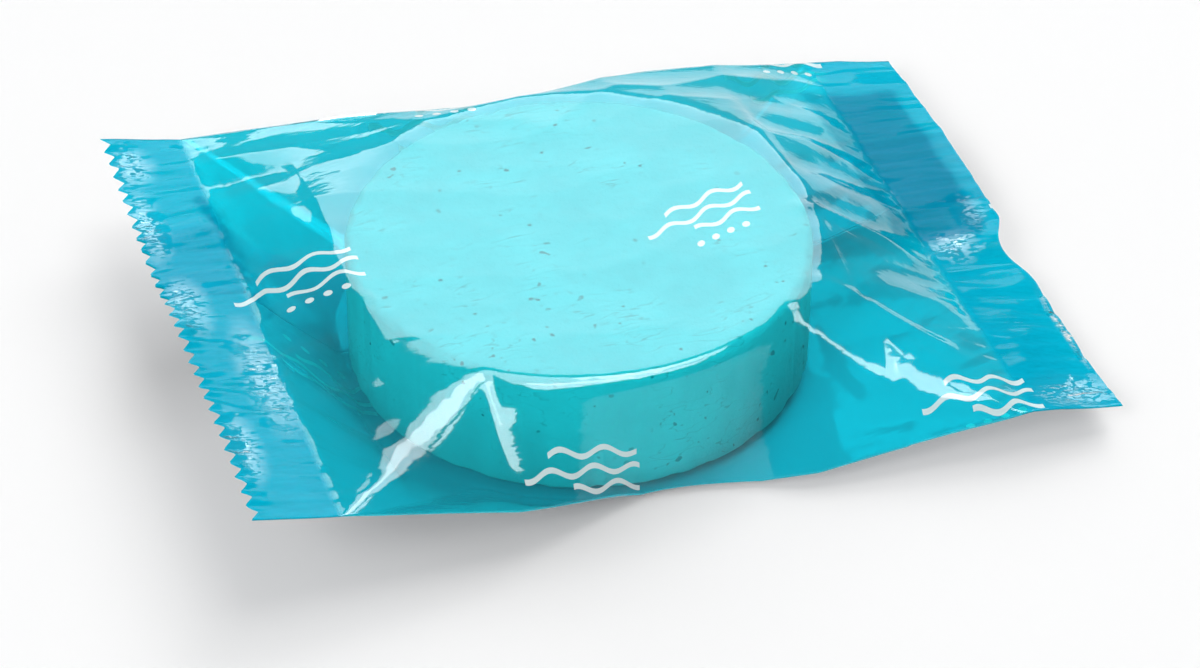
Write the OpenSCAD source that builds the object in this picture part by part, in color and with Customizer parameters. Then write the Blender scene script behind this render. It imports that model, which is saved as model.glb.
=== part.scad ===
// Round pool-care tablet sealed in a see-through film pouch (a flow wrap).
// The film is one tube: folded back seam underneath, crimped flat at both ends.
// X runs along the pouch, -Y is the front, Z is up. The origin is on the
// tablet's axis, at the level of the surface that the pouch lies on.

/* [Tablet] */
// Diameter of the pressed tablet
tablet_d = 76; // [70:0.5:80]
// Thickness of the pressed tablet
tablet_h = 22.5; // [18:0.5:24]
// Bevel round both edges of the tablet
tablet_bevel = 1.2; // [1.2:0.1:2]

/* [Film] */
// Thickness of the film
film_t = 0.12; // [0.08:0.01:0.16]
// Width of the tube of film when it is pressed flat
flat_w = 102.5; // [102:0.5:108]
// Space between the tablet and the film round it
film_play = 0.9; // [0.8:0.05:1.2]

/* [Pouch ends] */
// From the tablet's axis to the toothed end
left_reach = 67.2; // [64:0.2:80]
// From the tablet's axis to the straight end
right_reach = 76.4; // [70:0.2:90]
// Length of the crimped seal at the toothed end
left_seal = 14; // [8:0.5:16]
// Length of the crimped seal at the straight end
right_seal = 16; // [8:0.5:18]
// Height of the toothed end above the surface
left_lift = 19; // [10:0.5:22]
// Height of the toothed seal where it joins the pouch
left_root = 16.5; // [10:0.5:20]
// Height of the straight end above the surface
right_lift = 5.5; // [4:0.5:15]
// Height of the straight seal where it joins the pouch
right_root = 8; // [5:0.5:15]
// How far the ends sit behind the tablet's centre line
end_shift = 3.4; // [0:0.2:6]

/* [Crimp] */
// Number of ribs across a seal
rib_count = 24; // [20:1:26]
// Height of the ribs, from valley to crest
rib_h = 0.6; // [0.2:0.1:1.2]
// Depth of the teeth at the toothed end
tooth_depth = 1.6; // [0.5:0.1:3]
// How far the ribs run on into the pouch
rib_run = 9; // [4:0.5:12]

/* [Back seam] */
// Width of the folded back seam
seam_w = 20; // [12:1:24]
// Where the seam is folded over, behind the tablet's centre line
seam_y = 9; // [6:0.5:14]
// Gap between the film and the seam that lies on it
layer_gap = 0.15; // [0.1:0.01:0.25]
// Hairline gap between the two layers of the seam
seam_gap = 0.05; // [0.04:0.01:0.1]

/* [Folds] */
// Height of the front side fold at the tablet
front_fold_z = 1.2; // [0.8:0.1:6]
// Depth of the back side fold below the top of the tablet
back_fold_drop = 1.5; // [1:0.1:6]
// Height of the gathers beside the seals
gather_h = 0.8; // [0:0.1:1]
// Height of the tucks over the straight end's pocket
tuck_h = 1.1; // [0:0.1:1.5]
// Rise and fall of a seal across its width
wave_h = 1.4; // [0:0.1:2]
// Depth of the pinch in the straight end's edge
pinch_in = 3; // [0:0.1:4]
// Height of the pinch in the straight end's edge
pinch_h = 2.2; // [0:0.1:3]

/* [Hidden] */

// Levels of the tablet and of the film over and under it
tablet_r = tablet_d / 2;
tablet_sides = 96;
seam_stack = 2 * film_t + layer_gap + seam_gap;
tablet_z = seam_stack + film_t + film_play / 2;
over_z = tablet_z + tablet_h + film_play / 2 + film_t;

// The film's outer face clears the tablet's side by this radius
wrap_r = tablet_r + film_play + film_t;
left_inner = left_reach - left_seal;
right_inner = right_reach - right_seal;

// Direction from the tablet's axis in which a corner fold leaves its rim
fold_angle = 50;
fold_x = wrap_r * cos(fold_angle);

// Points across one layer of film: two to each rib
cols = 2 * rib_count;
rim_steps = 12;
seam_first = round(cols * (0.5 + (seam_y - end_shift) / flat_w));
seam_last = min(cols - 2, seam_first + round(seam_w * cols / flat_w));

// Rounding of the dome over a pocket, and how the side folds climb and drop
dome_steps = 3;
dome_power = 1.5;
front_fold_power = 0.75;
// Stretch along which the front side fold lies low
front_low = [-3, 17];
back_fold_power = 1.5;

// Tucks over the straight end's pocket, each from the rim to the seal
tucks = [
    [[36, -5], [55, -9]],
    [[31, -23], [53, -36]]
];
tuck_half_w = 2.4;
// Share of a half wave at which a tuck's rise starts and ends
tuck_ends = 0.05;

// Gathers: columns of points to each one at the toothed and the straight end,
// the angles at which they start in the top and the underside, and the share
// by which those of the underside run the other way
gather_cols = [5.3, 6.1];
gather_from = [30, 110];
low_gather = -0.6;

// Angles at which the wave of the toothed and the straight seal starts
wave_from = [200, 20];

// How the ribs die away inside the pouch
rib_power = 1.5;

// Columns over which the underside comes down again beside the seam
ramp_cols = 3;
// How far the hollow between the seam's layers reaches past the seam's fold
fold_in = 1.6 * film_t;

// The pinch in the straight end's edge, and how far it reaches along the edge
pinch_y = -4;
pinch_half_w = 5;

// Least share of its bulge that a side fold keeps, and a length that counts as none
least_bulge = 0.02;
tiny = 1e-6;

function mix(a, b, f) = a + (b - a) * f;
function clamp01(v) = max(0, min(1, v));
function bell(d, half_w) = exp(-pow(d / half_w, 2));

// Ends are counted 0 for the toothed one and 1 for the straight one
function end_of(x) = x < 0 ? 0 : 1;
function inner_of(x) = x < 0 ? left_inner : right_inner;
function root_of(x) = x < 0 ? left_root : right_root;

// Share of the way from the tablet's rim, or from where the corner folds
// leave it, to the seal
function rim_share(x) = clamp01((abs(x) - wrap_r) / (inner_of(x) - wrap_r));
function fold_share(x) = clamp01((abs(x) - fold_x) / (inner_of(x) - fold_x));
function seal_share(x) = clamp01(x < 0
    ? (-x - left_inner) / left_seal : (x - right_inner) / right_seal);
function into_pouch(x) = max(0, inner_of(x) - abs(x));

// Middle height of the seal, with its slow wave across the pouch
function seal_z(x, y) = mix(root_of(x), x < 0 ? left_lift : right_lift, seal_share(x))
    + wave_h * seal_share(x) * sin(360 * y / flat_w + wave_from[end_of(x)])
    + (x > 0 ? pinch_h * seal_share(x) * bell(y - pinch_y, pinch_half_w) : 0);

// Half the chord of the film's circle round the tablet, and the half width
// between the corner folds
function rim_y(x) = sqrt(max(0, wrap_r * wrap_r - x * x));
function fold_y(x) = abs(x) < fold_x ? rim_y(x)
    : mix(rim_y(fold_x), flat_w / 2, fold_share(x));

// Height of the side folds, front (-1) and back (+1). The front one lies low
// along a stretch of the tablet.
function low_share(x) = clamp01(max(front_low[0] - x, x - front_low[1])
    / (x < 0 ? left_inner + front_low[0] : right_inner - front_low[1]));
function side_z(x, side) = side < 0
    ? mix(front_fold_z, root_of(x), pow(low_share(x), front_fold_power))
    : mix(over_z - back_fold_drop, root_of(x),
        pow(clamp01(abs(x) / inner_of(x)), back_fold_power));

// Heights of the film at the corner folds
function top_fold_z(x) = mix(over_z, root_of(x), fold_share(x));
function low_fold_z(x) = mix(0, root_of(x), fold_share(x));

// Half width of the pouch: the girth of the tube stays the same all along it,
// so the side fold lies on an ellipse about the two corner folds
function side_y(x, side) =
    let (
        slack = max(tiny, flat_w / 2 - fold_y(x)),
        half_h = (top_fold_z(x) - low_fold_z(x)) / 2,
        bulge = sqrt(max(0, slack * slack - half_h * half_h)),
        off = (side_z(x, side) - (top_fold_z(x) + low_fold_z(x)) / 2) / slack
    )
    fold_y(x) + bulge * sqrt(max(least_bulge, 1 - off * off));

// Corner points of one layer of a section, from the front to the back side
function layer_path(x, top) =
    let (
        middle_z = mix(top ? over_z : 0, root_of(x), rim_share(x)),
        fold_z = top ? top_fold_z(x) : low_fold_z(x),
        half = [for (k = [0:dome_steps]) let (s = k / dome_steps)
            [mix(rim_y(x), fold_y(x), s), mix(middle_z, fold_z, pow(s, dome_power))]]
    )
    concat(
        [[-side_y(x, -1), side_z(x, -1)]],
        [for (k = [dome_steps:-1:0]) [-half[k][0], half[k][1]]],
        half,
        [[side_y(x, 1), side_z(x, 1)]]
    );

function path_runs(path) = [for (i = 0, run = 0; i < len(path);
    run = run + (i + 1 < len(path) ? norm(path[i + 1] - path[i]) : 0), i = i + 1) run];

// Point at a share of a path's length
function along(path, runs, share) =
    let (
        last = len(path) - 1,
        run = share * runs[last],
        past = [for (i = [0:last - 1]) if (runs[i] <= run + tiny) i],
        i = past[len(past) - 1],
        part = (run - runs[i]) / max(tiny, runs[i + 1] - runs[i])
    )
    mix(path[i], path[i + 1], min(1, part));

function to_line(p, ends) =
    let (
        way = ends[1] - ends[0],
        share = clamp01((p - ends[0]) * way / (way * way))
    )
    [norm(p - ends[0] - share * way), share];

// Small rise of the film: ribs, gathers and tucks
function rib_z(x, j) = rib_h / 2 * (j % 2 == 0 ? 1 : -1)
    * pow(clamp01(1 - into_pouch(x) / rib_run), rib_power);
function gather_z(x, j, top) = gather_h * (top ? 1 : low_gather)
    * sin(180 * clamp01(into_pouch(x) / (inner_of(x) - wrap_r))) * sqrt(sin(180 * j / cols))
    * (1 + sin(360 * j / gather_cols[end_of(x)] + gather_from[top ? 0 : 1])) / 2;
function tuck_z(x, y) = tuck_h * max([for (t = tucks) let (near = to_line([x, y], t))
    bell(near[0], tuck_half_w) * sin(180 * mix(tuck_ends, 1 - tuck_ends, near[1]))]);

// One point of the film's outer face, before the thickness of the seal
function film_point(x, j, top, paths) =
    let (
        in_seal = into_pouch(x) < tiny,
        path = paths[top ? 0 : 1],
        flat_y = flat_w * (j / cols - 0.5),
        p = in_seal ? [flat_y, seal_z(x, flat_y)] : along(path[0], path[1], j / cols),
        shift = end_shift * fold_share(x)
    )
    [p[0] + shift, p[1] + rib_z(x, j)
        + (in_seal ? 0 : gather_z(x, j, top) + (top ? tuck_z(x, p[0] + shift) : 0))];

// Along the pouch: how far a point of the end edges stands in or out
function end_x(x, j, y) =
    x <= -left_reach ? x + (j % 2 == 0 ? 0 : tooth_depth)
    : x > right_inner ? x - pinch_in * seal_share(x) * bell(y - pinch_y, pinch_half_w)
    : x;

// Rows of points along the film's outer face in a section: the top layer, the
// underside, and the two faces of the seam that is folded back under it
function outer_rows(x) =
    let (
        paths = [for (top = [true, false]) let (path = layer_path(x, top)) [path, path_runs(path)]],
        opened = into_pouch(x) > 0,
        lows = [for (j = [0:cols]) film_point(x, j, false, paths)],
        top = [for (j = [0:cols]) let (p = film_point(x, j, true, paths))
            [end_x(x, j, p[0]), p[0], p[1] + film_t]],
        low = [for (j = [0:cols]) let (p = lows[j])
            [end_x(x, j, p[0]), p[0], p[1] + seam_raise(x, j) - (opened ? 0 : film_t)]],
        upper = [for (j = [seam_first:seam_last]) low[j] - [0, 0, layer_gap]],
        lower = [for (j = [seam_first:seam_last]) low[j] - [0, 0, layer_gap + 2 * film_t + seam_gap]]
    )
    [top, low, upper, lower];

// The underside is lifted over the seam, so that the pouch still lies flat
function seam_raise(x, j) = seam_stack * (1 - rim_share(x))
    * clamp01(min(j - seam_first + 1, (seam_last + 1 + ramp_cols - j) / ramp_cols));

// Points of a row moved in by the film's thickness, square to the row
function set_in(row, j, sign) =
    let (way = row[j + 1] - row[j - 1])
    row[j] - sign * film_t * [0, -way[2], way[1]] / norm([way[1], way[2]]);

// Rows along the inner face: the top layer, the underside, and the slit
// between the seam's two layers, which opens into the pouch at its fold
function inner_rows(rows) =
    let (
        fold = -[0, fold_in, 0],
        edge = -[0, film_t / 2, 0],
        seam_at = function (k) k == 0 ? fold : k == seam_n ? edge : [0, 0, 0],
        low_at = function (j) set_in(rows[1], j, -1) + (j == seam_first ? fold : [0, 0, 0])
    )
    [
        [for (j = [1:cols - 1]) set_in(rows[0], j, 1)],
        [for (j = [1:cols - 1]) low_at(j)],
        [for (k = [0:seam_n]) rows[2][k] - [0, 0, film_t] + seam_at(k)],
        [for (k = [0:seam_n]) rows[3][k] + [0, 0, film_t] + seam_at(k)]
    ];

function reversed(list) = [for (k = [len(list) - 1:-1:0]) list[k]];
function part_of(list, first, last) = [for (k = [first:last]) list[k]];

// The section's outer face from the seam's lower edge, round the pouch and
// back to the seam's upper edge, and its inner face on the way back
function outer_loop(r) = concat(reversed(r[3]), reversed(part_of(r[1], 0, seam_first - 1)),
    r[0], reversed(part_of(r[1], seam_first, cols)), r[2]);
function inner_loop(r) = concat(reversed(r[2]), part_of(r[1], seam_first - 1, cols - 2),
    reversed(r[0]), part_of(r[1], 0, seam_first - 2), r[3]);

seam_n = seam_last - seam_first;
outer_n = 2 * (cols + 1) + 2 * (seam_n + 1);
inner_n = 2 * (cols - 1) + 2 * (seam_n + 1);

// Place in the outer loop of each row's points
function lower_o(k) = seam_n - k;
function top_o(j) = seam_n + 1 + seam_first + j;
function low_o(j) = j < seam_first ? seam_n + seam_first - j : top_o(cols) + 1 + cols - j;
function upper_o(k) = outer_n - 1 - seam_n + k;
// Place in the inner loop of each row's points
function slit_up(k) = seam_n - k;
function low_i(j) = j >= seam_first ? seam_n + 1 + j - seam_first
    : seam_n + 1 + (cols - seam_first) + (cols - 1) + j - 1;
function top_i(j) = seam_n + 1 + (cols - seam_first) + cols - 1 - j;
function slit_low(k) = inner_n - 1 - seam_n + k;

// Sections along the pouch. The hollow stops just short of the seals, and each
// pocket has sections at these shares of the way from its seal to the rim.
cavity_end = 1.2;
left_pocket = [0.38, 0.7];
right_pocket = [0.25, 0.5, 0.75];
stations = concat(
    [-left_reach, -left_reach + left_seal / 2, -left_inner, -left_inner + cavity_end],
    [for (share = left_pocket) -mix(left_inner, wrap_r, share)],
    [for (k = [0:rim_steps]) -wrap_r * cos(180 * k / rim_steps)],
    [for (share = reversed(right_pocket)) mix(right_inner, wrap_r, share)],
    [right_inner - cavity_end, right_inner, right_reach - right_seal / 2, right_reach]
);
last_station = len(stations) - 1;
// The first and the last section of the hollow
first_open = 3;
last_open = last_station - first_open;

function quad(a, b, c, d) = [[a, b, c], [a, c, d]];

// Four-sided face between two sections. A loop that runs back along a row gets
// the other diagonal, so that both faces of a wall bend along the same line.
function wall_quad(a, b, c, d, back) = back ? quad(b, c, d, a) : quad(a, b, c, d);
function strip(pairs) = [for (k = [0:len(pairs) - 2])
    each quad(pairs[k][0], pairs[k + 1][0], pairs[k + 1][1], pairs[k][1])];
function flipped(faces) = [for (f = faces) reversed(f)];
function moved(faces, by) = [for (f = faces) f + [by, by, by]];

// Where each loop runs back along a row
function runs_back_o(k) = k < top_o(0) || (k > top_o(cols) && k < upper_o(0));
function runs_back_i(k) = k <= slit_up(0) || (k >= top_i(cols - 1) && k <= top_i(1));

// Place of a loop's point among all the points, section by section
function o_at(i, k) = i * outer_n + k;
function i_at(i, k) = (last_station + 1) * outer_n + (i - first_open) * inner_n + k;

// Faces that close the two ends of the film and of its hollow
outer_end = concat(
    strip([for (j = [0:cols]) [top_o(j), low_o(j)]]),
    strip([[low_o(seam_first - 1), lower_o(0)], [low_o(seam_first), upper_o(0)]]),
    strip([for (k = [0:seam_n]) [upper_o(k), lower_o(k)]])
);
function inner_end(i) = concat(
    strip([for (j = [1:cols - 1]) [i_at(i, top_i(j)), i_at(i, low_i(j))]]),
    strip([[i_at(i, low_i(seam_first - 1)), i_at(i, slit_low(0))],
        [i_at(i, low_i(seam_first)), i_at(i, slit_up(0))]]),
    strip([for (k = [0:seam_n]) [i_at(i, slit_up(k)), i_at(i, slit_low(k))]]),
    quad(i_at(i, slit_up(seam_n)), o_at(i, outer_n - 1), o_at(i, 0), i_at(i, slit_low(seam_n)))
);

// The outer walls, the seam's edge where the hollow is closed, the inner walls,
// the seam's two edges where it is open, and the ends
film_faces = concat(
    [for (i = [0:last_station - 1], k = [0:outer_n - 2])
        each wall_quad(o_at(i, k), o_at(i, k + 1), o_at(i + 1, k + 1), o_at(i + 1, k), runs_back_o(k))],
    [for (i = [0:last_station - 1]) if (i < first_open || i >= last_open)
        each quad(o_at(i, outer_n - 1), o_at(i, 0), o_at(i + 1, 0), o_at(i + 1, outer_n - 1))],
    [for (i = [first_open:last_open - 1], k = [0:inner_n - 2])
        each wall_quad(i_at(i, k), i_at(i, k + 1), i_at(i + 1, k + 1), i_at(i + 1, k), runs_back_i(k))],
    [for (i = [first_open:last_open - 1]) each concat(
        quad(o_at(i, outer_n - 1), i_at(i, 0), i_at(i + 1, 0), o_at(i + 1, outer_n - 1)),
        quad(i_at(i, inner_n - 1), o_at(i, 0), o_at(i + 1, 0), i_at(i + 1, inner_n - 1)))],
    flipped(outer_end),
    moved(outer_end, last_station * outer_n),
    inner_end(first_open),
    flipped(inner_end(last_open))
);

module tablet() {
    color("#a9e4e6") rotate_extrude($fn = tablet_sides) polygon([
        [0, tablet_z],
        [tablet_r - tablet_bevel, tablet_z],
        [tablet_r, tablet_z + tablet_bevel],
        [tablet_r, tablet_z + tablet_h - tablet_bevel],
        [tablet_r - tablet_bevel, tablet_z + tablet_h],
        [0, tablet_z + tablet_h]
    ]);
}

module film_wrapper() {
    rows = [for (x = stations) outer_rows(x)];
    points = concat(
        [for (r = rows) each outer_loop(r)],
        [for (i = [first_open:last_open]) each inner_loop(inner_rows(rows[i]))]
    );
    color("#12b2d2", 0.6) polyhedron(points = points, faces = film_faces, convexity = 8);
}

tablet();
film_wrapper();
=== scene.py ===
import math
import bpy
import numpy as np
from mathutils import Matrix, Vector, noise


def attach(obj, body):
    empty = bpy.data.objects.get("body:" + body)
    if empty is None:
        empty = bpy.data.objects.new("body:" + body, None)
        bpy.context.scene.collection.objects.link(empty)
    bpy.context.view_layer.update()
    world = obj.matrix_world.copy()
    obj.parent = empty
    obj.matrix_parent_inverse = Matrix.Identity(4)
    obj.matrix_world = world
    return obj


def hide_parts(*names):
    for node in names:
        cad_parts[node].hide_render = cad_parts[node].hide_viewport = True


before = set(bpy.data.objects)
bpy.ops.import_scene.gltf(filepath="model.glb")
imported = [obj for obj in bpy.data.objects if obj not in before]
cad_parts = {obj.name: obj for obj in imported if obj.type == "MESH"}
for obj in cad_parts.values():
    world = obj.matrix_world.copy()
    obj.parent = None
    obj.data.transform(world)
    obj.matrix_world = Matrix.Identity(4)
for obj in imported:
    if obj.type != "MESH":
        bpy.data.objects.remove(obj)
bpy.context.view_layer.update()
mm = 0.001
print("packed model loaded:", ", ".join(sorted(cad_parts)))

# camera, turned and raised as the photograph's, so that no lens shift is needed
cameraSetup = {"azimuth": -18.6, "elevation": 38.57, "roll": 0.43, "distance": 655 * mm,
               "target": (0, 0, 12.26 * mm), "right": 3.49 * mm, "up": -7.53 * mm, "lens": 120}


def makeCamera(c):
    a, e, r = (math.radians(c[k]) for k in ("azimuth", "elevation", "roll"))
    back = Vector((math.sin(a) * math.cos(e), -math.cos(a) * math.cos(e), math.sin(e)))
    level = Vector((math.cos(a), math.sin(a), 0))
    upright = back.cross(level)
    right = math.cos(r) * level + math.sin(r) * upright
    up = -math.sin(r) * level + math.cos(r) * upright
    bpy.ops.object.camera_add()
    camera = bpy.context.object
    camera.name = "photoCamera"
    camera.data.lens = c["lens"]
    camera.data.clip_start, camera.data.clip_end = 0.01, 60
    camera.matrix_world = Matrix((right, up, back)).transposed().to_4x4()
    camera.location = Vector(c["target"]) + c["distance"] * back + c["right"] * right + c["up"] * up
    bpy.context.scene.camera = camera


makeCamera(cameraSetup)
print("camera placed")


# shader maths as expressions
class Wire:  # one output socket, with the operators that values need
    def __init__(self, sheet, socket):
        self.sheet, self.socket = sheet, socket

    def calc(self, operation, *values):
        return self.sheet.add("ShaderNodeMath", {"operation": operation}, dict(enumerate((self, *values))))

    def __add__(self, other): return self.calc("ADD", other)
    def __radd__(self, other): return self.calc("ADD", other)
    def __sub__(self, other): return self.calc("SUBTRACT", other)

    def __rsub__(self, other):
        return self.sheet.add("ShaderNodeMath", {"operation": "SUBTRACT"}, {0: other, 1: self})

    def __mul__(self, other): return self.calc("MULTIPLY", other)
    def __rmul__(self, other): return self.calc("MULTIPLY", other)
    def __truediv__(self, other): return self.calc("DIVIDE", other)
    def __pow__(self, other): return self.calc("POWER", other)
    def sine(self): return self.calc("SINE")
    def least(self, other): return self.calc("MINIMUM", other)
    def most(self, other): return self.calc("MAXIMUM", other)
    def size(self): return self.calc("ABSOLUTE")
    def part(self): return self.calc("FRACT")
    def floor(self): return self.calc("FLOOR")
    def below(self, other): return self.calc("LESS_THAN", other)
    def ramp(self, low, high):  # 0 at low to 1 at high, smooth between
        return self.sheet.add("ShaderNodeMapRange", {"interpolation_type": "SMOOTHSTEP"},
                              {"Value": self, "From Min": low, "From Max": high})


class Shades:  # the node tree of one material
    def __init__(self, name):
        self.material = bpy.data.materials.new(name)
        self.material.use_nodes = True
        self.nodes, self.links = self.material.node_tree.nodes, self.material.node_tree.links
        self.nodes.clear()

    def add(self, kind, settings=None, values=None, out=0):
        node = self.nodes.new(kind)
        for key, setting in (settings or {}).items():
            if key == "stops":
                while len(node.color_ramp.elements) < len(setting):
                    node.color_ramp.elements.new(0.5)
                for element, (place, colour) in zip(node.color_ramp.elements, setting):
                    element.position, element.color = place, (*colour, 1)
            else:
                setattr(node, key, setting)
        for key, value in (values or {}).items():
            if isinstance(value, Wire):
                self.links.new(value.socket, node.inputs[key])
            else:
                node.inputs[key].default_value = value
        return Wire(self, node.outputs[out]) if len(node.outputs) else None

    def colours(self, factor, first, second, blend="MIX"):
        pair = [(*c, 1) if isinstance(c, tuple) else c for c in (first, second)]
        return self.add("ShaderNodeMix", {"data_type": "RGBA", "blend_type": blend},
                        {0: factor, 6: pair[0], 7: pair[1]}, out=2)

    def clouds(self, where, scale, detail=3, rough=0.55, squeeze=None):  # soft noise, about 0.5
        if squeeze:
            where = self.add("ShaderNodeMapping", None, {"Vector": where, "Scale": squeeze})
        return self.add("ShaderNodeTexNoise", None,
                        {"Vector": where, "Scale": scale, "Detail": detail, "Roughness": rough})

    def bump(self, height, distance, strength=1.0, base=None):
        values = {"Height": height, "Distance": distance, "Strength": strength}
        return self.add("ShaderNodeBump", None, {**values, "Normal": base} if base else values)

    def mixed(self, factor, first, second):
        return self.add("ShaderNodeMixShader", None, {0: factor, 1: first, 2: second})

    def done(self, shader):
        self.add("ShaderNodeOutputMaterial", None, {"Surface": shader})
        return self.material


# floor, room and lamps
studio = {"floorSize": 14, "floorColour": (0.965, 0.965, 0.965), "floorGrain": 9, "floorVary": 1.01,
          "worldColour": (0.97, 0.985, 1.0), "worldStrength": 0.2}
# name, azimuth from the camera's side, elevation, distance, width, height, watts; a gleam shows in gloss alone
lamps = [
    ("keyLight", 150, 46, 2.4, 1.2, 1.2, 22, "light"),
    ("backFill", -179, 27, 2.6, 2.0, 1.4, 15, "light"),
    ("frontFill", -34, 38, 2.0, 0.9, 0.86, 18, "light"),
    ("overheadFill", 104, 76, 2.3, 1.0, 1.0, 12, "light"),
    ("backGleam", -179, 37, 2.4, 1.84, 1.5, 41, "gleam"),
    ("rimGleam", 24, 60, 2.0, 1.7, 0.8, 42, "gleam"),
    ("bandGleam", 2, 86, 2.1, 1.3, 1.9, 54, "gleam"),
    ("leafGleam", 108, 74, 2.0, 0.86, 0.86, 20, "gleam"),
]


def makeStudio(s):
    bpy.ops.mesh.primitive_plane_add(size=s["floorSize"])
    floor = bpy.context.object
    floor.name = "floor"
    shades = Shades("paleFloor")
    grain = shades.clouds(shades.add("ShaderNodeTexCoord", out=3), s["floorGrain"])
    colour = shades.colours(grain, s["floorColour"], tuple(v * s["floorVary"] for v in s["floorColour"]))
    plain = shades.add("ShaderNodeBsdfPrincipled", None,
                       {"Base Color": colour, "Roughness": 0.9, "Specular IOR Level": 0.0})
    floor.data.materials.append(shades.done(plain))
    world = bpy.data.worlds.new("paleRoom")
    world.use_nodes = True
    background = world.node_tree.nodes["Background"]
    background.inputs["Color"].default_value = (*s["worldColour"], 1)
    background.inputs["Strength"].default_value = s["worldStrength"]
    bpy.context.scene.world = world
    for name, azimuth, elevation, distance, width, height, watts, use in lamps:
        a, e = math.radians(azimuth + cameraSetup["azimuth"]), math.radians(elevation)
        place = distance * Vector((math.sin(a) * math.cos(e), -math.cos(a) * math.cos(e), math.sin(e)))
        bpy.ops.object.light_add(type="AREA", location=place)
        lamp = bpy.context.object
        lamp.name = name
        lamp.rotation_euler = place.to_track_quat("Z", "Y").to_euler()
        lamp.data.shape = "RECTANGLE"
        lamp.data.size, lamp.data.size_y, lamp.data.energy = width, height, watts
        lamp.visible_glossy, lamp.visible_diffuse = use == "gleam", use == "light"


makeStudio(studio)
bpy.context.scene.view_settings.view_transform = "Standard"
print("floor, room and lamps placed")

# the film: one flat sheet, folded into a tube with a back seam and pressed flat at both ends
film = {  # millimetres
    "flatWidth": 102.5, "thick": 0.12, "play": 0.9,
    "tabletRadius": 38, "tabletHeight": 22.5,
    "leftReach": 67.2, "rightReach": 76.4, "leftSeal": 14, "rightSeal": 16,
    "leftLift": 19, "leftRoot": 16.5, "rightLift": 5.5, "rightRoot": 8, "endShift": 3.4,
    "ribs": 24, "ribHeight": 0.2, "fineRibs": 53, "fineRibHeight": 0.05, "ribRun": 9, "ribCurve": 1.5,
    # how the ribs sway and fade: size or level, then turn per millimetre of y and x
    "ribSway": ((0.35, 0.31, 0.2), (0.25, 0.83, -0.13)), "ribSwayShare": 0.3,
    "ribFade": (0.45, 0.9), "ribFadeTurns": ((0.17, 0.11), (-0.06, 0.29)), "ribFadeStart": 2, "ribLeast": 0.2,
    "toothPitch": 3.3, "toothDepth": 1.6, "toothRun": 5,
    "seamFold": 6.41, "seamEnd": 25.6, "layerGap": 0.15, "seamGap": 0.05,
    "frontFoldHeight": 1.2, "backFoldDrop": 1.5, "foldAngle": 50, "frontLow": (-3, 17),
    "endCurve": 1.5, "frontCurve": 0.75,  # how the film bends down from the tablet to either end
    "gatherHeight": 0.8, "gatherUnder": -0.6, "gatherPitch": (5.3, 6.1), "gatherTurn": (30, 110),
    "waveHeight": 1.4, "waveTurn": (200, 20), "pinchIn": 3, "pinchHeight": 2.2, "pinchY": -4, "pinchHalf": 5,
    "tuckEnd": 0.05,
    # small folds: two ends, half width, height; a crease that dips takes both layers with it
    "tucks": (((36, -5), (55, -9), 2.4, 1.1), ((31, -23), (53, -36), 2.4, 1.1),
              ((-48.2, 18.5), (-50.4, 12), 1.3, 0.5), ((-54.9, 32), (-53, 25.5), 1.1, -0.75),
              ((-53, 25.5), (-51.6, -1), 1.1, -0.75), ((-40, -2), (-36, -9), 1.2, 0.3)),
    "dents": ((74.5, -19), (75.8, -23.8), (76.1, -29.3), (75.8, -36), (75.6, -3.9), (70.6, 6.4),
              (73.6, 38.9), (74, 30)),
    "dentSize": (3.4, 1.25, 0.34), "edgeDentX": (-66, 2.5), "edgeDentY": (-44, 40, 4.3), "edgeDentStray": 1.6,
    "facets": 420, "facetSpread": (1.3, 0.6), "facetSquash": 0.62, "facetUnder": 0.4, "facetWeld": 6,
    "facetDepth": 0.011, "facetDepthTaut": 0.003, "facetDepthFront": 0.0025, "frontY": -18, "frontX": 40,
    "tautReach": 1.15, "tautRate": 4,
    "seed": 7,
    "rounding": 0.7, "softSpots": ((-37, 8, 0.8), (36, 12, 0.6), (2, 26, 0.3)),  # centre, half, more rounding
    # flat strips along the front corners: centre, half, corner, reach inwards and outwards
    "flats": ((-36, 10, "fold", 2.6, 2.6), (39, 13, "fold", 4.0, 4.6), (-3, 26, "rim", 1.1, 1.9)),
    "sampled": 481, "pathSteps": 9,
    "topColumns": 236, "frontColumns": 132, "backColumns": 104, "seamColumns": 44, "rows": 156,
}
f = film
seamStack = 2 * f["thick"] + f["layerGap"] + f["seamGap"]
tabletBase = seamStack + f["thick"] + f["play"] / 2
overTop = tabletBase + f["tabletHeight"] + f["play"] / 2 + f["thick"]
wrapRadius = f["tabletRadius"] + f["play"] + f["thick"]
foldX = wrapRadius * math.cos(math.radians(f["foldAngle"]))
leftInner, rightInner = f["leftReach"] - f["leftSeal"], f["rightReach"] - f["rightSeal"]
acrossSteps, seamSteps = 48, (26, 40, 3)  # steps across a layer, and where the underside lifts over the seam


def blend(a, b, share): return a + (b - a) * share
def held(v): return np.clip(v, 0, 1)
def bell(d, half): return np.exp(-(d / half) ** 2)
def innerOf(x): return leftInner if x < 0 else rightInner
def rootOf(x): return f["leftRoot"] if x < 0 else f["rightRoot"]
def rimShare(x): return float(held((abs(x) - wrapRadius) / (innerOf(x) - wrapRadius)))
def foldShare(x): return float(held((abs(x) - foldX) / (innerOf(x) - foldX)))
def rimY(x): return math.sqrt(max(0, wrapRadius ** 2 - x * x))
def foldY(x): return rimY(x) if abs(x) < foldX else blend(rimY(foldX), f["flatWidth"] / 2, foldShare(x))


def sealShare(x):
    return float(held((-x - leftInner) / f["leftSeal"] if x < 0 else (x - rightInner) / f["rightSeal"]))


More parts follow.
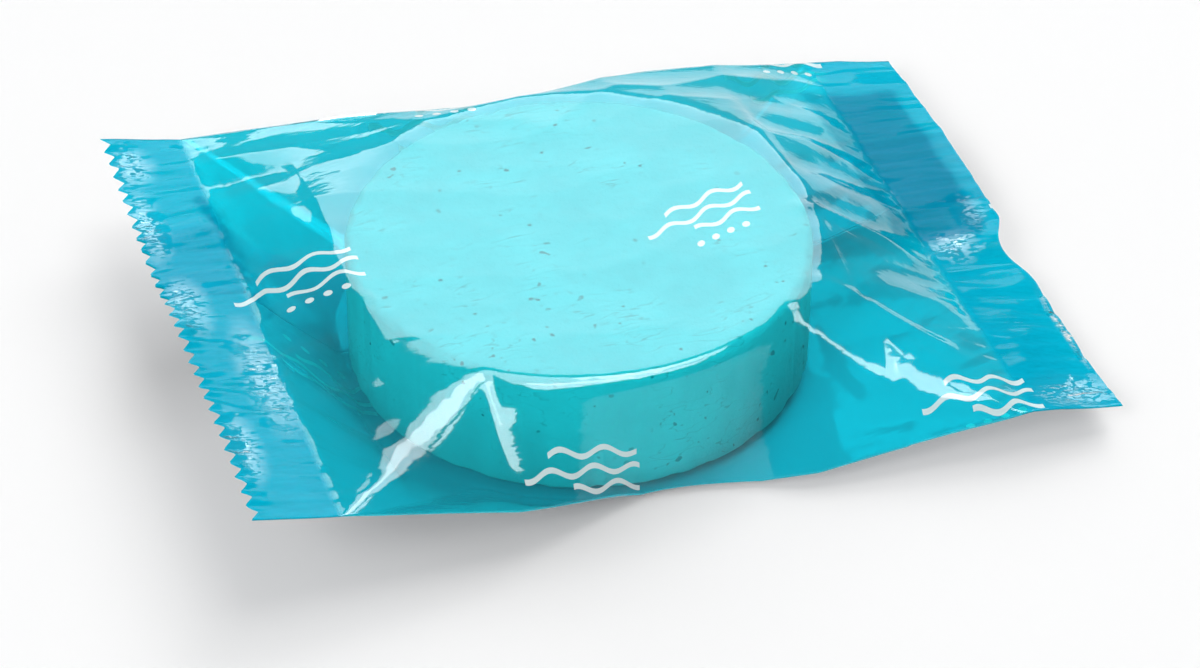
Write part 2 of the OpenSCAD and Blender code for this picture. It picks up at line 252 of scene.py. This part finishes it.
def sealHeight(x, y):  # the seal rises and falls slowly across the pouch
    share = sealShare(x)
    z = blend(rootOf(x), f["leftLift"] if x < 0 else f["rightLift"], share)
    z = z + f["waveHeight"] * share * np.sin(np.radians(360 * y / f["flatWidth"] + f["waveTurn"][int(x > 0)]))
    return z + (f["pinchHeight"] * share * bell(y - f["pinchY"], f["pinchHalf"]) if x > 0 else 0)


def sideHeight(x, side):  # height of the front (-1) or back (+1) side fold
    if side > 0:
        return blend(overTop - f["backFoldDrop"], rootOf(x), float(held(abs(x) / innerOf(x))) ** f["endCurve"])
    low, high = f["frontLow"]
    run = max(low - x, x - high) / (leftInner + low if x < 0 else rightInner - high)
    return blend(f["frontFoldHeight"], rootOf(x), float(held(run)) ** f["frontCurve"])


def sideY(x, side):  # the tube's girth stays the same all along it
    top, low = blend(overTop, rootOf(x), foldShare(x)), blend(0, rootOf(x), foldShare(x))
    slack = max(0.001, f["flatWidth"] / 2 - foldY(x))
    bulge = math.sqrt(max(0, slack ** 2 - ((top - low) / 2) ** 2))
    off = (sideHeight(x, side) - (top + low) / 2) / slack
    return foldY(x) + bulge * math.sqrt(max(0.02, 1 - off * off))


def roundingAt(x):  # how softly the film bends over the rim and along its corner folds
    return f["rounding"] + sum(more * float(bell(x - centre, half)) for centre, half, more in f["softSpots"])


def rounded(values, reach):
    steps = np.arange(-int(3 * reach) - 1, int(3 * reach) + 2)
    weights = np.exp(-(steps / reach) ** 2 / 2)
    line = np.interp(np.arange(-len(steps), len(values) + len(steps)), np.arange(len(values)), values)
    line[:len(steps)] = 2 * values[0] - line[len(steps) + 1:2 * len(steps) + 1][::-1]
    line[-len(steps):] = 2 * values[-1] - line[-2 * len(steps) - 1:-len(steps) - 1][::-1]
    return np.convolve(line, weights / weights.sum(), "same")[len(steps):-len(steps)]


def section(x, top, shares):  # y and z of one layer of the tube at the given shares of its width
    level = overTop if top else 0
    middle, fold = blend(level, rootOf(x), rimShare(x)), blend(level, rootOf(x), foldShare(x))
    steps = np.linspace(1, 0, f["pathSteps"])
    oneSide = [(blend(rimY(x), foldY(x), s), blend(middle, fold, s ** f["endCurve"])) for s in steps]
    path = [(-sideY(x, -1), sideHeight(x, -1))] + [(-y, z) for y, z in oneSide]
    path += [(y, z) for y, z in oneSide[::-1]] + [(sideY(x, 1), sideHeight(x, 1))]
    path = np.array(path)
    run = np.r_[0, np.cumsum(np.hypot(*np.diff(path, axis=0).T) + 1e-9)]
    fine = np.linspace(0, run[-1], f["sampled"])
    keep = np.ones(len(fine), bool)
    for centre, half, corner, inward, outward in f["flats"] if top else ():
        share = float(bell(x - centre, half))
        bend = run[f["pathSteps"] if corner == "rim" else 1]
        keep &= (fine < bend - outward * share) | (fine > bend + inward * share) | (share < 0.1)
    kept = fine[keep]
    y, z = (rounded(np.interp(fine, kept, np.interp(kept, run, path[:, k])), roundingAt(x) / fine[1])
            for k in (0, 1))
    return np.interp(shares, fine / fine[-1], y), np.interp(shares, fine / fine[-1], z)


def nearLine(x, y, ends):  # distance from a line, and the share along it
    (ax, ay), (bx, by) = ends
    share = held(((x - ax) * (bx - ax) + (y - ay) * (by - ay)) / ((bx - ax) ** 2 + (by - ay) ** 2))
    return np.hypot(x - blend(ax, bx, share), y - blend(ay, by, share)), share


def sheetColumns():  # layer and flat y of each column, from one free edge of the seam round to the other
    half, fold, end = f["flatWidth"] / 2, f["seamFold"], f["seamEnd"]
    runs = [("lower", end, fold, f["seamColumns"]), ("under", fold, -half, f["frontColumns"]),
            ("top", -half, half, f["topColumns"]), ("under", half, fold, f["backColumns"]),
            ("upper", fold, end, f["seamColumns"])]
    layers, flat = [], []
    for name, start, stop, count in runs:
        values = np.linspace(start, stop, count + 1)[:-1]
        layers += [name] * count
        flat += list(values)
    return np.array(layers + ["upper"]), np.array(flat + [end])


chance = np.random.default_rng(f["seed"])
facetX, facetY = f["facetSpread"]
facetPlaces = chance.uniform((-facetX * f["leftReach"], -f["flatWidth"] * facetY),
                             (facetX * f["rightReach"], f["flatWidth"] * facetY), (f["facets"], 2))
dentX, dentStray = f["edgeDentX"]
edgeDents = list(f["dents"])
edgeDents += [(dentX + dentStray * chance.random(), y + f["edgeDentStray"] * chance.random())
              for y in np.arange(*f["edgeDentY"])]


def facets(x, flat, side):  # shallow dents that meet along crisp creases
    spread = np.full(len(flat), 1e9)
    for px, py in facetPlaces[side::2]:
        spread = np.minimum(spread, ((x - px) * f["facetSquash"]) ** 2 + (flat - py) ** 2)
    return spread


def ribsAt(x, flat, shares):  # crimp ribs that wander and fade in places
    sway = sum(size * np.sin(turnY * flat + turnX * x) for size, turnY, turnX in f["ribSway"])
    level, swing = f["ribFade"]
    (longY, longX), (shortY, shortX) = f["ribFadeTurns"]
    fade = np.sin(longY * flat + longX * x + f["ribFadeStart"]) * np.cos(shortX * x + shortY * flat)
    strength = held(level + swing * fade)
    strength = f["ribLeast"] + (1 - f["ribLeast"]) * strength
    coarse = f["ribHeight"] / 2 * np.cos(2 * np.pi * (shares * f["ribs"] + f["ribSwayShare"] * sway)) * strength
    return coarse + f["fineRibHeight"] / 2 * np.cos(2 * np.pi * (shares * f["fineRibs"] + sway))


def filmRow(x, layers, flat):
    shares = flat / f["flatWidth"] + 0.5
    room = max(0.0, innerOf(x) - abs(x))
    inSeal = room <= 0
    y, z = np.empty_like(flat), np.empty_like(flat)
    isTop = layers == "top"
    for top, mask in ((True, isTop), (False, ~isTop)):
        if inSeal:
            y[mask], z[mask] = flat[mask], sealHeight(x, flat[mask])
        else:
            y[mask], z[mask] = section(x, top, shares[mask])
    y = y + f["endShift"] * foldShare(x)
    z = z + ribsAt(x, flat, shares) * held(1 - room / f["ribRun"]) ** f["ribCurve"]
    if not inSeal:
        span = innerOf(x) - wrapRadius
        phase = 360 * shares * acrossSteps / f["gatherPitch"][int(x > 0)] + np.where(isTop, *f["gatherTurn"])
        gather = np.where(isTop, 1, f["gatherUnder"]) * f["gatherHeight"]
        gather = gather * math.sin(math.pi * float(held(room / span)))
        z = z + gather * np.sqrt(held(np.sin(np.pi * shares))) * (1 + np.sin(np.radians(phase))) / 2
    for *ends, half, height in f["tucks"]:
        d, s = nearLine(x, y, ends)
        slope = np.maximum(0, 1 - d / half) * np.sin(np.pi * held(s * (1 - 2 * f["tuckEnd"]) + f["tuckEnd"]))
        z = z + (isTop | (height < 0)) * height * slope
    long, wide, deep = f["dentSize"]
    for px, py in edgeDents:
        z = z - deep * bell(x - px, long) * bell(flat - py, wide)
    overTablet = held(f["tautReach"] - np.hypot(x, flat) / wrapRadius) if not inSeal else 0
    depth = blend(f["facetDepth"], f["facetDepthTaut"], held(f["tautRate"] * overTablet))
    depth = np.where((flat < f["frontY"]) & (x < f["frontX"]), f["facetDepthFront"], depth)
    near, far = facets(x, flat, 0), f["facetUnder"] * facets(x, flat, 1)
    under = blend(near, far, held(room / f["facetWeld"]))  # welded layers dent as one
    z = z + depth * np.where(isTop, near, under)
    start, stop, run = seamSteps
    raised = held(np.minimum(shares * acrossSteps - start, (stop - shares * acrossSteps) / run))
    raised = raised * seamStack * (1 - rimShare(x))
    z = z + np.where(isTop, f["thick"] / 2, raised - (f["thick"] / 2 if inSeal else 0))
    z = z - np.where(layers == "upper", f["layerGap"] + f["thick"] / 2, 0)
    z = z - np.where(layers == "lower", f["layerGap"] + 1.5 * f["thick"] + f["seamGap"], 0)
    return y, z


def makeFilm():
    layers, flat = sheetColumns()
    rows = np.linspace(-f["leftReach"], f["rightReach"], f["rows"] + 1)
    bpy.ops.object.select_all(action="DESELECT")
    bpy.ops.mesh.primitive_grid_add(x_subdivisions=len(flat) - 1, y_subdivisions=len(rows) - 1, size=1)
    sheet = bpy.context.object
    sheet.name = "filmWrapper"
    places = np.empty(len(sheet.data.vertices) * 3)
    sheet.data.vertices.foreach_get("co", places)
    places = places.reshape(len(rows), len(flat), 3)
    for i, x in enumerate(rows):
        y, z = filmRow(x, layers, flat)
        nearEnd = max(0, 1 - (x + f["leftReach"]) / f["toothRun"])
        teeth = np.abs((flat / f["toothPitch"]) % 1 * 2 - 1) * f["toothDepth"] * nearEnd
        pinched = f["pinchIn"] * sealShare(x) * bell(y - f["pinchY"], f["pinchHalf"]) if x > 0 else 0
        places[i, :, 0], places[i, :, 1], places[i, :, 2] = x + teeth - pinched, y, z
    places *= mm
    sheet.data.vertices.foreach_set("co", places.ravel())
    bpy.ops.object.shade_smooth()
    sheet.data.update()
    return sheet


filmLook = {
    "tint": (0.005, 0.775, 0.87, 1), "tintUnder": (0.012, 0.96, 1.0, 1),
    # the last colour on the next line paints shade into the pressed seal band and creases, which also hold more
    # layers of film
    "haze": (0.0, 0.80, 1.0), "crimpHaze": (0.0, 0.56, 0.78), "shadeAndLayersHaze": (0.0, 0.22, 0.38),
    "cover": 0.1, "underCover": 0.38, "crimpCover": 0.36, "shadeAndLayersCover": 0.22, "streakCover": 0.4,
    "topMiddle": 0.525, "girth": 243.2, "topEdge": (50.9, 51.4), "wander": 5, "hazeRoughness": 0.4,
    "gloss": 0.04, "crumpleGloss": 1.4, "crimpGloss": 0.84, "shadeAndLayersGloss": 0.5,
    "roughness": 0.07, "crimpRoughness": 0.09,
    "shadeAndLayersBand": ((53.5, 55.5, 72, 74.5), (-6, -3.5, 39.5, 42)),  # the painted shade band on the right seal, partly also its extra layers of film: where it starts and ends, along and across
    # ovals of fine crumples: centre, half length, half width
    "crumples": ((-56, -16, 4, 15), (-64, 4, 4, 9), (-65, 27, 3.5, 10), (-64.5, -34, 3.5, 9),
                 (76.2, -28, 1.4, 13), (70, -46, 8, 5.5), (-64, 44, 4.5, 6), (66, -6, 6, 4), (72, 2, 3, 6)),
    # pressed creases on the left seal, darkened with painted shade: two ends, half width
    "creases": (((-54.9, 32), (-53, 25.5), 0.9), ((-53, 25.5), (-51.6, -1), 0.9)),
    "printPitch": (66, 50), "printSlide": 11, "printLift": 0.42,
    "waves": ((3.2, 7.5, 0), (0, 10, 2), (-3.2, 6, -2)), "waveRate": 0.85,
    "waveSwing": 0.75, "strokeHalf": 0.5, "dotPitch": 2.9, "dotLift": -6.6, "dotRadius": 0.7,
    "creaseEdge": (0.4, 2), "creaseStreaks": 1.6, "spotEdge": (0.15, 1.3), "bandWander": (0.5, 0.4),
    # noise: scale, detail, roughness, squeeze; a bump's depth in metres and strength
    "streaks": (420, 3, 0.6, (0.22, 1, 1)), "wanderNoise": (170, 2),
    "wrinkles": (260, 3, 0.55, (0.4, 1, 1)), "wrinkleBump": (0.0004, 0.25),
    "glints": (400, 2, 0.5, (0.6, 1, 1)), "glintBump": (0.0017, 1.0),
    "shadowTint": (0.80, 0.81, 0.82, 1), "shadowTintUnder": (0.45, 0.46, 0.47, 1),
    "print": (0.80, 0.93, 0.93), "printCover": 0.86,
}


def printMask(across, along, look):  # short waves and dots in staggered rows
    wide, tall = look["printPitch"]
    level = (across + tall * look["printLift"]) / tall
    x = (((along + look["printSlide"]) / wide + (level.floor() / 2).part()).part() - 0.5) * wide
    y = (level.part() - 0.5) * tall
    mask = None
    for lift, reach, slide in look["waves"]:
        offset = (y - lift - (x + slide).calc("MULTIPLY", look["waveRate"]).sine() * look["waveSwing"]).size()
        stroke = offset.below(look["strokeHalf"]) * (x + slide).size().below(reach)
        mask = stroke if mask is None else mask.most(stroke)
    dotX, dotY = ((x / look["dotPitch"]).part() - 0.5) * look["dotPitch"], y - look["dotLift"]
    dots = (dotX * dotX + dotY * dotY).below(look["dotRadius"] ** 2) * x.size().below(2 * look["dotPitch"])
    return mask.most(dots)


def lineMask(x, y, line):  # 1 on a straight crease, fading off beside it
    (ax, ay), (bx, by), half = line
    dx, dy = bx - ax, by - ay
    share = (((x - ax) * dx + (y - ay) * dy) / (dx * dx + dy * dy)).most(0).least(1)
    offX, offY = x - (share * dx + ax), y - (share * dy + ay)
    return 1 - ((offX * offX + offY * offY) ** 0.5).ramp(*(half * edge for edge in filmLook["creaseEdge"]))


def spotMask(x, y, spot):  # 1 inside an oval, with a soft edge
    cx, cy, halfX, halfY = spot
    offX, offY = (x - cx) / halfX, (y - cy) / halfY
    return 1 - ((offX * offX + offY * offY) ** 0.5).ramp(*filmLook["spotEdge"])


def shadeAndLayersMask(along, across, wander, streaks, look):  # darker where more layers lie and along the pressed creases: partly the extra film, partly painted shade
    (inStart, inEnd, outStart, outEnd), (lowStart, lowEnd, highStart, highEnd) = look["shadeAndLayersBand"]
    outWander, sideWander = look["bandWander"]
    level = across + wander * sideWander
    shadeAndLayers = (along + wander).ramp(inStart, inEnd)
    shadeAndLayers = shadeAndLayers * (1 - (along + wander * outWander).ramp(outStart, outEnd))
    shadeAndLayers = shadeAndLayers * level.ramp(lowStart, lowEnd) * (1 - level.ramp(highStart, highEnd))
    for crease in look["creases"]:
        shadeAndLayers = shadeAndLayers.most(lineMask(along, across, crease) * (streaks * look["creaseStreaks"]).least(1))
    return shadeAndLayers


def filmMaterial(look):
    shades = Shades("tintedFilm")
    where, flatPlace = (shades.add("ShaderNodeTexCoord", out=out) for out in (3, 2))
    split = shades.add("ShaderNodeSeparateXYZ", None, {"Vector": flatPlace})
    across = (split - look["topMiddle"]) * look["girth"]  # millimetres from the middle of the top layer
    along = Wire(shades, split.socket.node.outputs[1]) * (f["leftReach"] + f["rightReach"]) - f["leftReach"]
    crimped = along.ramp(rightInner - 1, rightInner + 1) + (along * -1).ramp(leftInner - 1, leftInner + 1)
    isTop = 1 - across.size().ramp(*look["topEdge"])
    streaks = shades.clouds(where, *look["streaks"])
    wander = (shades.clouds(where, *look["wanderNoise"]) - 0.5) * look["wander"]
    # painted shade on the pressed seal band and creases, partly the extra layers of film there
    shadeAndLayers = shadeAndLayersMask(along, across, wander, streaks, look) * isTop
    crumpled = spotMask(along, across + wander * 0.5, look["crumples"][0])
    for spot in look["crumples"][1:]:
        crumpled = crumpled.most(spotMask(along, across + wander * 0.5, spot))
    crumpled = crumpled * isTop
    printed = printMask(across, along, look)
    cover = crimped * (look["crimpCover"] - look["cover"]) + look["cover"] + (1 - isTop) * look["underCover"]
    cover = cover + crimped * (streaks - 0.5) * look["streakCover"] + shadeAndLayers * look["shadeAndLayersCover"]
    cover = cover.most(printed * look["printCover"])
    # the darker colour mixed in here is that painted shade
    base = shades.colours(shadeAndLayers, shades.colours(crimped, look["haze"], look["crimpHaze"]), look["shadeAndLayersHaze"])
    base = shades.colours(printed, base, look["print"])
    fine = shades.bump(shades.clouds(where, *look["wrinkles"]), *look["wrinkleBump"])
    fine = shades.bump(shades.clouds(where, *look["glints"]) * crumpled, *look["glintBump"], fine)

    def through(under, top):  # a clear layer, with its own tint on the underside
        return shades.mixed(isTop, *(shades.add("ShaderNodeBsdfTransparent", None, {"Color": look[name]})
                                     for name in (under, top)))

    hazy = shades.add("ShaderNodeBsdfPrincipled", None,
                      {"Base Color": base, "Roughness": look["hazeRoughness"], "Specular IOR Level": 0.0})
    rough = crimped * (look["crimpRoughness"] - look["roughness"]) + look["roughness"]
    mirror = shades.add("ShaderNodeBsdfAnisotropic", None,
                        {"Color": (1, 1, 1, 1), "Roughness": rough, "Normal": fine})
    facing = shades.add("ShaderNodeLayerWeight", None, {"Blend": 0.5, "Normal": fine}, out=1)
    gloss = facing ** 5 * (1 - look["gloss"]) + look["gloss"]
    gloss = gloss * (crumpled * look["crumpleGloss"] - crimped * look["crimpGloss"] + 1)
    gloss = gloss * (1 - shadeAndLayers * look["shadeAndLayersGloss"])
    seen = shades.mixed(gloss, shades.mixed(cover, through("tintUnder", "tint"), hazy), mirror)
    shadow = shades.add("ShaderNodeLightPath", out="Is Shadow Ray")
    bounce = shades.add("ShaderNodeLightPath", out="Is Diffuse Ray")
    return shades.done(shades.mixed(shadow.most(bounce), seen, through("shadowTintUnder", "shadowTint")))


filmSheet = makeFilm()
filmSheet.data.materials.append(filmMaterial(filmLook))
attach(filmSheet, "root")
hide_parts("film_wrapper")
flatLength = f["leftReach"] + f["rightReach"]
flatGirth = 2 * f["flatWidth"] + 2 * (f["seamEnd"] - f["seamFold"])
flatGirth * mm
flatLength * mm
print("film folded:", len(filmSheet.data.polygons), "faces")


# the tablet: a pressed disc with chipped edges and a powdery face
tablet = {  # millimetres
    "radius": 38, "height": 22.5, "bevel": 1.2, "sides": 288,
    "rings": (0.5, 0.9, 1.6, 3, 6), "chipDepth": 0.75, "chipSize": 3.2, "chipReach": 2.4, "chipLeast": 0.08,
    "crumbShare": 0.35, "crumbPitch": 2.7, "faceWave": 0.05, "wavePitch": 9,
    "bevelRings": 4, "smoothAngle": 35,
}


def makeTablet(t):
    bpy.ops.object.select_all(action="DESELECT")
    bpy.ops.mesh.primitive_cylinder_add(vertices=t["sides"], radius=t["radius"] * mm, depth=t["height"] * mm)
    disc = bpy.context.object
    disc.name = "pressedTablet"
    bpy.ops.object.mode_set(mode="EDIT")
    bpy.ops.mesh.select_mode(type="FACE")
    bpy.ops.mesh.select_all(action="DESELECT")
    bpy.ops.object.mode_set(mode="OBJECT")
    for face in disc.data.polygons:
        face.select = abs(face.normal.z) > 0.9
    bpy.ops.object.mode_set(mode="EDIT")
    bpy.ops.mesh.select_mode(type="EDGE")
    bpy.ops.mesh.region_to_loop()
    bpy.ops.mesh.bevel(offset=t["bevel"] * mm, segments=t["bevelRings"], profile=0.42)
    bpy.ops.mesh.select_all(action="DESELECT")
    bpy.ops.object.mode_set(mode="OBJECT")
    for face in disc.data.polygons:
        face.select = abs(face.normal.z) > 0.99 and len(face.vertices) > 4
    bpy.ops.object.mode_set(mode="EDIT")
    bpy.ops.mesh.select_mode(type="FACE")
    for ring in t["rings"]:  # rings of faces near the edge, for the chips to bite into
        bpy.ops.mesh.inset(thickness=ring * mm, use_individual=True)
    bpy.ops.mesh.select_all(action="DESELECT")
    bpy.ops.object.mode_set(mode="OBJECT")
    half = t["height"] / 2
    for vertex in disc.data.vertices:
        p = vertex.co / mm
        out = math.hypot(p.x, p.y)
        near = max(0.0, 1 - math.hypot(t["radius"] - out, half - abs(p.z)) / t["chipReach"])
        bite = max(0.0, noise.noise(p / t["chipSize"]) - t["chipLeast"])
        bite = bite + t["crumbShare"] * max(0.0, noise.noise(p / t["chipSize"] * t["crumbPitch"]))
        inward = Vector((p.x / max(out, 1e-6), p.y / max(out, 1e-6), math.copysign(1, p.z)))
        inward = inward * near * bite * t["chipDepth"]
        wave = t["faceWave"] * noise.noise(p / t["wavePitch"])
        vertex.co = (p - inward - Vector((0, 0, math.copysign(max(0, wave), p.z)))) * mm
    disc.data.transform(Matrix.Translation((0, 0, (tabletBase + half) * mm)))
    bpy.ops.object.shade_smooth_by_angle(angle=math.radians(t["smoothAngle"]))
    return disc


powder = {"pale": (0.95, 0.975, 0.965), "dull": (0.78, 0.84, 0.84), "worn": (0.99, 1.0, 1.0),
          "speck": (0.12, 0.27, 0.28), "roughness": 0.88, "specks": 0.9, "scuffs": 0.4,
          "scuffWidth": 0.006, "rubbed": 0.5, "specular": 0.25,
          # noise: scale, detail, roughness, squeeze; a range is where a mask starts and is full
          "mottle": (75, 4, 0.6), "mottleRange": (0.3, 0.7),
          "speckNoise": (520, 1), "speckRange": (0.695, 0.735),
          "speckPlaces": 70, "speckPlaceRange": (0.42, 0.58),
          "scuffNoise": (95, 2, 0.5, (1, 4.5, 4.5)), "scuffRange": (0.45, 0.6), "rubbedRange": (0.52, 0.6),
          "coarse": (300, 3, 0.6), "coarseBump": (0.0006, 0.35),
          "grain": (1700, 3, 0.7), "grainBump": (0.0002, 0.5)}


def tabletMaterial(look):
    shades = Shades("pressedPowder")
    where = shades.add("ShaderNodeTexCoord", out=3)
    mottle = shades.clouds(where, *look["mottle"]).ramp(*look["mottleRange"])
    colour = shades.colours(mottle, look["dull"], look["pale"])
    specks = shades.clouds(where, *look["speckNoise"]).ramp(*look["speckRange"])
    specks = specks * shades.clouds(where, look["speckPlaces"]).ramp(*look["speckPlaceRange"])
    scuffs = (shades.clouds(where, *look["scuffNoise"]) - 0.5).size().below(look["scuffWidth"])
    marks = (specks * look["specks"]).most(scuffs * mottle.ramp(*look["scuffRange"]) * look["scuffs"])
    colour = shades.colours(marks, colour, look["speck"])
    rubbed = shades.add("ShaderNodeNewGeometry", out=7).ramp(*look["rubbedRange"])
    colour = shades.colours(rubbed * look["rubbed"], colour, look["worn"])
    coarse = shades.bump(shades.clouds(where, *look["coarse"]), *look["coarseBump"])
    grain = shades.bump(shades.clouds(where, *look["grain"]), *look["grainBump"], coarse)
    return shades.done(shades.add("ShaderNodeBsdfPrincipled", None, {
        "Base Color": colour, "Roughness": look["roughness"],
        "Specular IOR Level": look["specular"], "Normal": grain}))


tabletDisc = makeTablet(tablet)
tabletDisc.data.materials.append(tabletMaterial(powder))
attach(tabletDisc, "root")
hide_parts("tablet")
print("tablet pressed:", len(tabletDisc.data.polygons), "faces")
